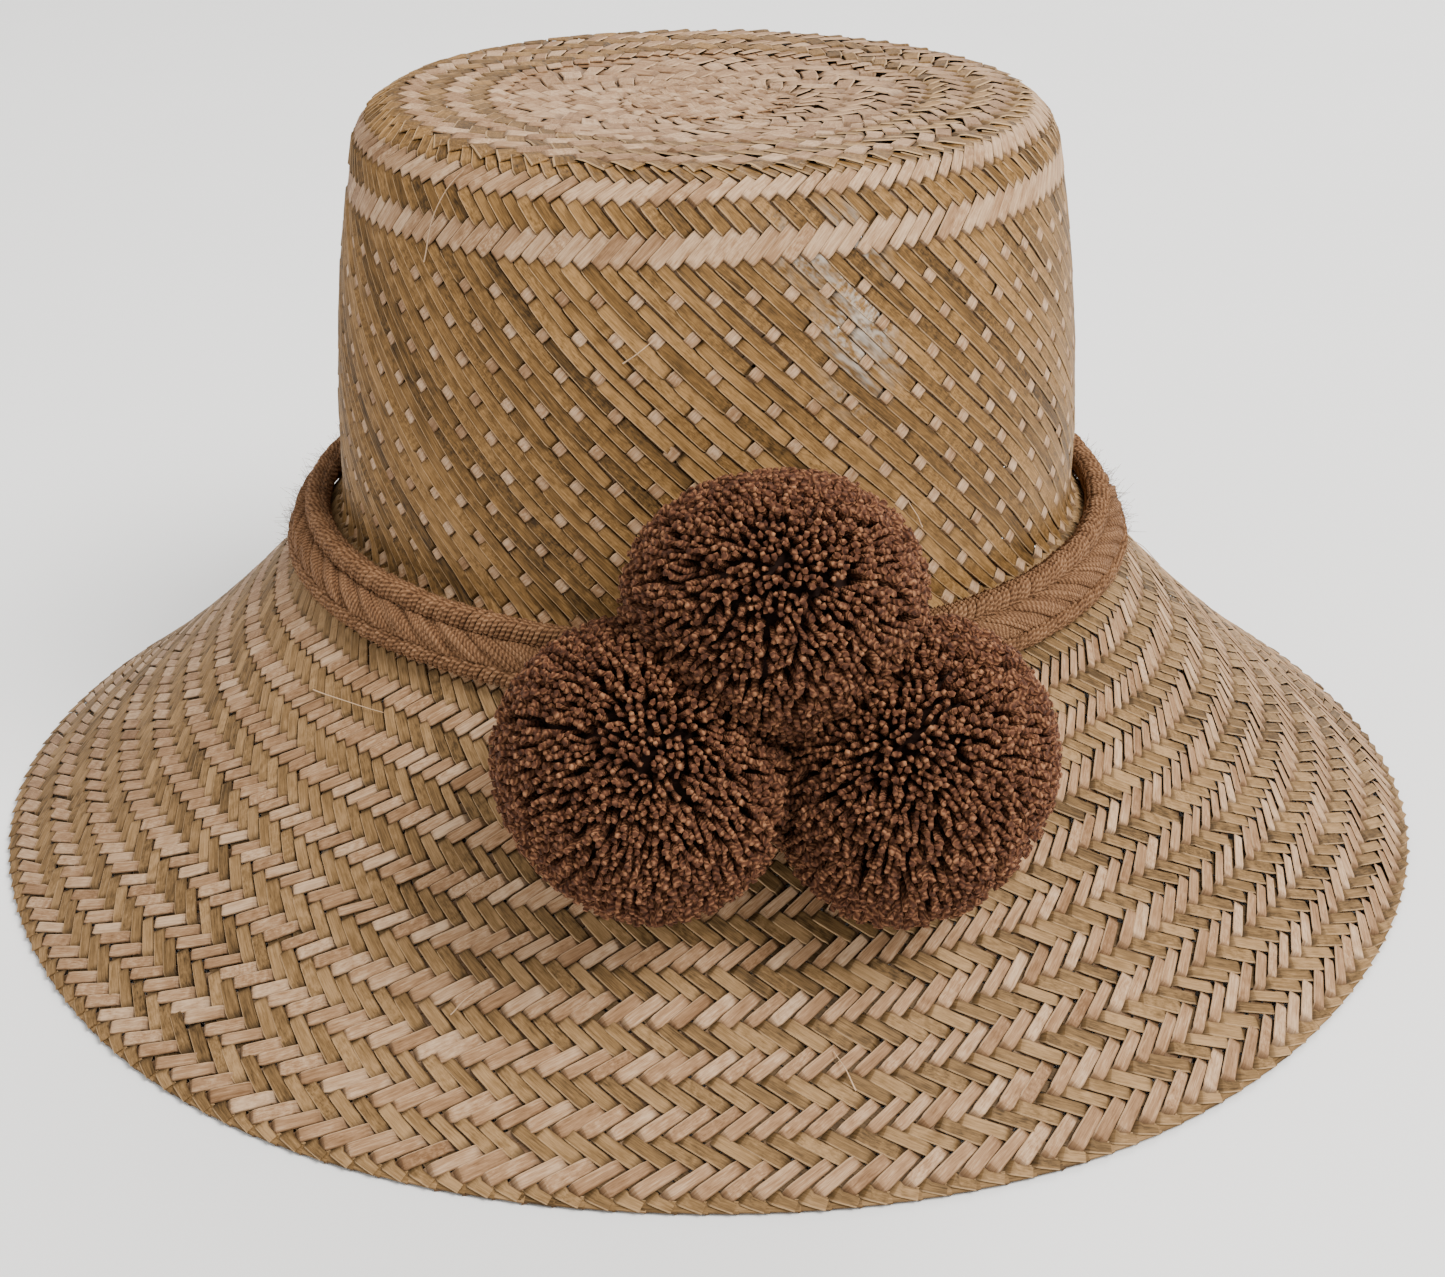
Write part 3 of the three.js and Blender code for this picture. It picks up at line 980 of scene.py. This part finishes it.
# Lap, place across (-1 to 1) and level (above 0 over, below 0 under) of a strand, to the top edge
# and back.
LAP_SHAPE = (
    (0.0, -1.0, -0.2), (0.03, -0.92, 0.9), (0.09, -0.64, 0.7), (0.19, -0.46, -1.0), (0.5, -0.05, -1.7),
    (0.80, 0.24, -1.0), (0.88, 0.36, 0.7), (0.92, 0.60, 1.9), (0.965, 0.92, 1.8), (1.0, 1.06, -0.1),
    (1.03, 0.90, -2.0), (1.09, 0.42, -2.0), (1.17, 0.30, 0.1), (1.5, -0.12, 0.8), (1.80, -0.54, 0.3),
    (1.89, -0.66, -1.7), (1.96, -0.92, -1.6), (2.0, -1.0, -0.2),
)


def band_frame(azimuth, across, height):
    """A point of the band: across runs up the slope and height out from it, in mm."""
    curve = 0.6 - np.where(across < 0, 2.0, 0.5) * (across / BAND_HALF) ** 2
    out = height + curve
    r = BAND_RADIUS - math.cos(BAND_SLOPE) * across + math.sin(BAND_SLOPE) * out
    z = BAND_HEIGHT + math.sin(BAND_SLOPE) * across + math.cos(BAND_SLOPE) * out
    return np.stack([r * np.sin(azimuth), -r * np.cos(azimuth), z], -1)


def build_band(material):
    """A flat plait of four strands, each a flat bundle of two-ply yarns."""
    rng = np.random.default_rng(47)
    laps = (np.arange(2 * BAND_PERIODS)[:, None] + np.array(LAP_STEPS)[None, :]).ravel()
    laps = np.append(laps, 2.0 * BAND_PERIODS)
    samples = len(laps)
    cells = BAND_STRANDS * STRAND_YARNS * BAND_LOOP_CELLS
    tubes = Tubes((BAND_CELL_COLUMNS, math.ceil(cells / BAND_CELL_COLUMNS)))
    knots, places, levels = np.array(LAP_SHAPE).T
    edge = BAND_HALF - 2 * YARN_RADIUS
    angle = TAU * np.arange(YARN_SIDES) / YARN_SIDES
    for strand in range(BAND_STRANDS):
        for yarn in range(STRAND_YARNS):
            lane = (yarn - (STRAND_YARNS - 1) / 2) / STRAND_YARNS
            lap = laps % 2.0
            lap[-1] = 2.0
            wander = smooth_noise(rng, 1, samples, 50, 0.16)[0]
            rise = smooth_noise(rng, 1, samples, 50, 0.12)[0]
            wander[-1], rise[-1] = wander[0], rise[0]
            across = np.interp(lap, knots, places)
            level = np.interp(lap, knots, levels)
            turn = (laps / 2 - (strand + lane) / BAND_STRANDS) / BAND_PERIODS * TAU
            leaf = np.clip(near(lap, 1.5, 0.42) * 2.5, 0, 1)
            bulge = 0.35 + (1.25 * (1 - 4 * lane ** 2) - 0.35) * leaf
            centre = band_frame(turn, edge * across + wander, 1.35 * level + bulge + rise - 0.2)
            ahead = unit(np.gradient(centre, axis=0))
            inner = band_frame(turn, edge * across, 0 * level)
            outward = unit(band_frame(turn, edge * across, 3.0 + 0 * level) - inner)
            first = unit(np.cross(outward, ahead))
            second = unit(np.cross(ahead, first))
            ring = circles(first[:, None], second[:, None], angle)
            rings = centre[:, None, :] + YARN_RADIUS * rng.uniform(0.94, 1.12) * ring
            step = np.linalg.norm(np.diff(centre, axis=0), axis=1)
            along = np.concatenate([[0], np.cumsum(step)]) + rng.uniform(0, 50)
            tone = rng.beta(2.5, 2.5)
            tubes.add(rings[:-1], along[:-1], tone, np.ones(samples - 1), BAND_LOOP_CELLS)
    tubes.make("hat_band_plait", material, "hat_band", "band_yarn")


FUZZ_FIBRES = 5200
FUZZ_CELLS = (72, 73)
FUZZ_RADIUS = 0.055
FUZZ_ROOT = 0.9


def build_band_fuzz(material):
    """Loose fibres that stand off the band."""
    rng = np.random.default_rng(53)
    samples, sides = 3, 3
    angle = TAU * np.arange(sides) / sides
    t = np.linspace(0, 1, samples)[:, None]
    tubes = Tubes(FUZZ_CELLS)
    for _ in range(FUZZ_FIBRES):
        azimuth = rng.uniform(0, TAU)
        across = BAND_HALF * rng.uniform(-0.95, 0.95)
        start, above = band_frame(azimuth, across, np.array([FUZZ_ROOT, FUZZ_ROOT + 2.0]))
        out = unit(above - start)
        heading = unit(rng.normal(0, 1, 3))
        curl = unit(rng.normal(0, 1, 3))
        length = rng.uniform(1.8, 4.4)
        centre = start + length * (t * (0.55 * out + 0.75 * heading) + 0.35 * t ** 2 * curl)
        ahead = unit(np.gradient(centre, axis=0))
        first = unit(np.cross(ahead, curl))
        second = np.cross(ahead, first)
        thick = FUZZ_RADIUS * np.linspace(1.0, 0.5, samples)
        rings = centre[:, None] + thick[:, None, None] * circles(first[:, None], second[:, None], angle)
        tubes.add(rings, length * t[:, 0], rng.uniform(0.4, 1), np.ones(samples))
    tubes.make("hat_band_fuzz", material, "hat_band", "band_yarn")


POMPOM_ENDS = 3700
POMPOM_SIDES = 5
YARN_SHOWN = 9.5
YARN_SECTION = (0.50, 0.72, 0.67)
CUT_DEPTH = 0.35
CUT_PLAY = 0.75
YARN_BEND = 0.75
TUFTS = 150
TUFT_PULL = 0.08
PARTINGS = 6
PARTING_PLACE = 0.25
PARTING_REACH = 0.10
PARTING_PUSH = 0.012
CORE_SHARE = 0.80
# Name, seed, back, top cut, low reach and low aim.
POMPOMS = (
    ("pompom_top", 61, (0.05, 0.30, 0.05), 3.6, 0.0, (0.0, -0.7, -0.7)),
    ("pompom_left", 67, (0.12, 0.28, -0.02), 0.0, 5.0, (0.40, -0.66, -0.64)),
    ("pompom_right", 71, (-0.08, 0.28, 0.0), 0.0, 5.5, (-0.30, -0.66, -0.66)),
)


def build_pompom(material, name, seed, back, top_cut, low_reach, low_aim):
    """Twisted yarn ends that stand all round a core painted near-black as shade, cut to the outline of the
    CAD pompom.

    They point away from back, in radii from the middle. Ends on top are cut top_cut mm shorter,
    and those towards low_aim are left low_reach mm longer.
    """
    rng = np.random.default_rng(seed)
    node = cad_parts[name]
    corners = [vertex.co for vertex in node.data.vertices]
    solid = BVHTree.FromPolygons(corners, [polygon.vertices for polygon in node.data.polygons])
    lo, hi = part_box(name)
    middle = np.array((lo + hi) / 2)
    radius = (hi.x - lo.x) / 2
    root_point = middle + radius * np.array(back)
    low_aim = unit(np.array(low_aim))
    samples = 3
    cells = math.ceil(math.sqrt(POMPOM_ENDS + 1))
    tubes = Tubes((cells, cells))
    index = np.arange(POMPOM_ENDS) + 0.5
    polar = np.arccos(1 - 2 * index / POMPOM_ENDS)
    spin = index * math.pi * (1 + math.sqrt(5))
    outer = np.stack([np.sin(polar) * np.cos(spin), np.sin(polar) * np.sin(spin), np.cos(polar)], -1)
    outer = unit(outer + rng.normal(0, 0.014, outer.shape))
    tufts = unit(rng.normal(0, 1, (TUFTS, 3)))
    partings = unit(rng.normal(0, 1, (PARTINGS, 3)))
    for direction in outer:
        nearest = tufts[np.argmax(tufts @ direction)]
        direction = unit(direction + TUFT_PULL * (nearest - direction))
        for plane in partings:
            gap = float(direction @ plane) - PARTING_PLACE
            if abs(gap) < PARTING_REACH:
                push = PARTING_PUSH * (1 - abs(gap) / PARTING_REACH)
                direction = unit(direction + plane * np.sign(gap) * push)
        hit = solid.ray_cast(Vector(middle), Vector(direction))
        if hit[0] is None:
            continue
        tip = np.array(hit[0])
        direction = unit(tip - root_point)
        cut = CUT_DEPTH + max(-0.7, rng.normal(0, CUT_PLAY)) + top_cut * max(0.0, direction[2]) ** 2
        cut -= low_reach * max(0.0, float(direction @ low_aim)) ** 3
        tip = tip / MM - direction * cut
        bend = rng.normal(0, YARN_BEND, 3)
        t = np.linspace(0, 1, samples)
        centre = tip + direction * (YARN_SHOWN * (t - 1))[:, None] + bend * (t ** 2 - 1)[:, None]
        first = unit(np.cross(direction, (0.31, 0.77, 0.55)))
        second = np.cross(direction, first)
        twist = rng.uniform(0, TAU) + 1.3 * t
        angle = twist[:, None] + TAU * np.arange(POMPOM_SIDES)[None] / POMPOM_SIDES
        lobe = 0.93 + 0.20 * np.cos(2 * (angle - twist[:, None]))
        size = rng.uniform(0.85, 1.15) * np.array(YARN_SECTION)
        rings = centre[:, None] + (size[:, None] * lobe)[..., None] * circles(first, second, angle)
        # Painted shade: depth runs from 0 at the root to 1 at the tip, so each end darkens towards the
        # middle.
        tubes.add(rings, YARN_SHOWN * t + rng.uniform(0, 9), rng.beta(2, 2), t ** 0.9)
    add_shade_core(tubes, solid, middle)
    tubes.make(name + "_yarn", material, name, "pompom_yarn")


def add_shade_core(tubes, solid, middle):
    """A ball inside, in the near-black painted shade colour, so that nothing shows through between the yarn
    ends.
    """
    stacks, slices = 12, 20
    rings = []
    for polar in np.linspace(math.pi - 0.02, 0.02, stacks):
        ring = []
        for spin in TAU * np.arange(slices) / slices:
            flat = math.sin(polar)
            aim = Vector((flat * math.cos(spin), flat * math.sin(spin), math.cos(polar)))
            hit = solid.ray_cast(Vector(middle), aim)
            ring.append(middle / MM + np.array(aim) * CORE_SHARE * hit[3] / MM)
        rings.append(ring)
    tubes.add(np.array(rings), np.linspace(0, 50, stacks), 0.3, np.zeros(stacks))


# Name, place, target, size in metres, watts and colour.
LIGHTS = (
    ("key", (1.40, -1.20, 2.30), (0.0, 0.0, 0.1), 1.4, 124.0, (1.0, 0.98, 0.95)),
    ("fill", (-1.8, -1.6, 1.5), (0.0, 0.0, 0.1), 2.2, 13.0, (0.98, 0.99, 1.0)),
    ("back", (0.8, 1.8, 1.8), (0.0, 0.0, 0.12), 1.6, 40.0, (1.0, 0.99, 0.97)),
)
WORLD_COLOUR = (1.0, 0.99, 0.97)
WORLD_STRENGTH = 0.82
FLOOR_SIZE = 6.0
# A little below the hat, since the underside of the straw dips below the CAD's.
FLOOR_HEIGHT = -0.0003


def add_floor():
    bpy.ops.mesh.primitive_plane_add(size=FLOOR_SIZE, location=(0, 0, FLOOR_HEIGHT))
    floor = bpy.context.object
    floor.name = "floor"
    floor.data.materials.append(floor_material())


def main():
    add_camera()
    add_world(WORLD_COLOUR, WORLD_STRENGTH)
    for light in LIGHTS:
        add_area_light(*light)
    add_floor()

    pale = straw_material(
        "straw_pale",
        dark=(0.17, 0.085, 0.037),
        middle=(0.315, 0.180, 0.092),
        light=(0.54, 0.365, 0.225),
        edge=(0.50, 0.33, 0.195),
        rough=0.50,
        gloss=0.14,
    )
    olive = straw_material(
        "straw_olive",
        dark=(0.034, 0.017, 0.004),
        middle=(0.152, 0.078, 0.022),
        light=(0.325, 0.180, 0.066),
        edge=(0.52, 0.34, 0.18),
        rough=0.48,
        gloss=0.16,
    )
    drab = straw_material(
        "straw_brim_olive",
        dark=(0.055, 0.030, 0.010),
        middle=(0.190, 0.108, 0.042),
        light=(0.350, 0.212, 0.098),
        edge=(0.42, 0.27, 0.14),
        rough=0.50,
        gloss=0.14,
    )
    band = yarn_material(
        "yarn_band",
        groove_shade=(0.048, 0.018, 0.006),
        middle=(0.178, 0.085, 0.037),
        light=(0.34, 0.19, 0.10),
        twist_mm=1.15,
        deep_shade=(0.08, 0.035, 0.015),
        fuzz=0.25,
    )
    tips = yarn_material(
        "yarn_pompom",
        groove_shade=(0.031, 0.0095, 0.0043),
        middle=(0.108, 0.039, 0.018),
        light=(0.35, 0.160, 0.074),
        twist_mm=1.3,
        deep_shade=(0.017, 0.006, 0.0034),
        fuzz=0.10,
    )
    build_brim(pale, drab)
    build_crown(pale, olive)
    build_crown_top(pale, olive)
    build_strays(pale)
    build_band(band)
    build_band_fuzz(band)
    for pompom in POMPOMS:
        build_pompom(tips, *pompom)


main()
